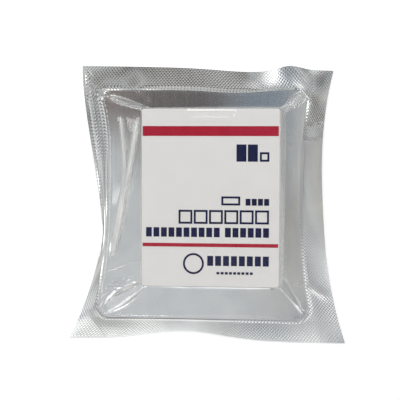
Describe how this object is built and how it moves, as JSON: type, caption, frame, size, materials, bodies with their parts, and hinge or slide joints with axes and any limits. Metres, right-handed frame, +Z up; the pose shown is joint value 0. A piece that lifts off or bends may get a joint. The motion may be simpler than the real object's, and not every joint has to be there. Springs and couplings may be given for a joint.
{
  "type": "microscope slide pack",
  "caption": "Sealed pack of microscope slides: a paperboard carton of glass slides on a foil backing, under a clear film sealed to the foil all round.",
  "frame": {"origin": "on the foil's flat underside, under the carton's centre", "axes": "+Z up through the carton's printed front, +Y towards the carton's opening end, +X to the right of the print"},
  "size_m": [0.1302, 0.129, 0.0277],
  "materials": {
    "foil": "satin foil laminate, embossed in the seal",
    "film": "clear glossy film",
    "board": "smooth white coated board",
    "red_ink": "flat printed ink",
    "navy_ink": "flat printed ink",
    "slide_glass": "clear ground-edge glass"
  },
  "bodies": {
    "root": {"foil_back": "foil", "clear_film": "film", "carton": "board", "red_bands": "red_ink", "navy_blocks": "navy_ink", "slide_01": "slide_glass", "slide_02": "slide_glass", "slide_03": "slide_glass", "slide_04": "slide_glass", "slide_05": "slide_glass", "slide_06": "slide_glass", "slide_07": "slide_glass", "slide_08": "slide_glass", "slide_09": "slide_glass", "slide_10": "slide_glass", "slide_11": "slide_glass", "slide_12": "slide_glass", "slide_13": "slide_glass", "slide_14": "slide_glass", "slide_15": "slide_glass", "slide_16": "slide_glass", "slide_17": "slide_glass", "slide_18": "slide_glass", "slide_19": "slide_glass", "slide_20": "slide_glass", "slide_21": "slide_glass", "slide_22": "slide_glass", "slide_23": "slide_glass", "slide_24": "slide_glass", "slide_25": "slide_glass", "slide_26": "slide_glass", "slide_27": "slide_glass", "slide_28": "slide_glass", "slide_29": "slide_glass", "slide_30": "slide_glass", "slide_31": "slide_glass", "slide_32": "slide_glass", "slide_33": "slide_glass", "slide_34": "slide_glass", "slide_35": "slide_glass", "slide_36": "slide_glass", "slide_37": "slide_glass", "slide_38": "slide_glass", "slide_39": "slide_glass", "slide_40": "slide_glass", "slide_41": "slide_glass", "slide_42": "slide_glass", "slide_43": "slide_glass", "slide_44": "slide_glass", "slide_45": "slide_glass", "slide_46": "slide_glass", "slide_47": "slide_glass", "slide_48": "slide_glass", "slide_49": "slide_glass", "slide_50": "slide_glass"}
  },
  "joints": []
}
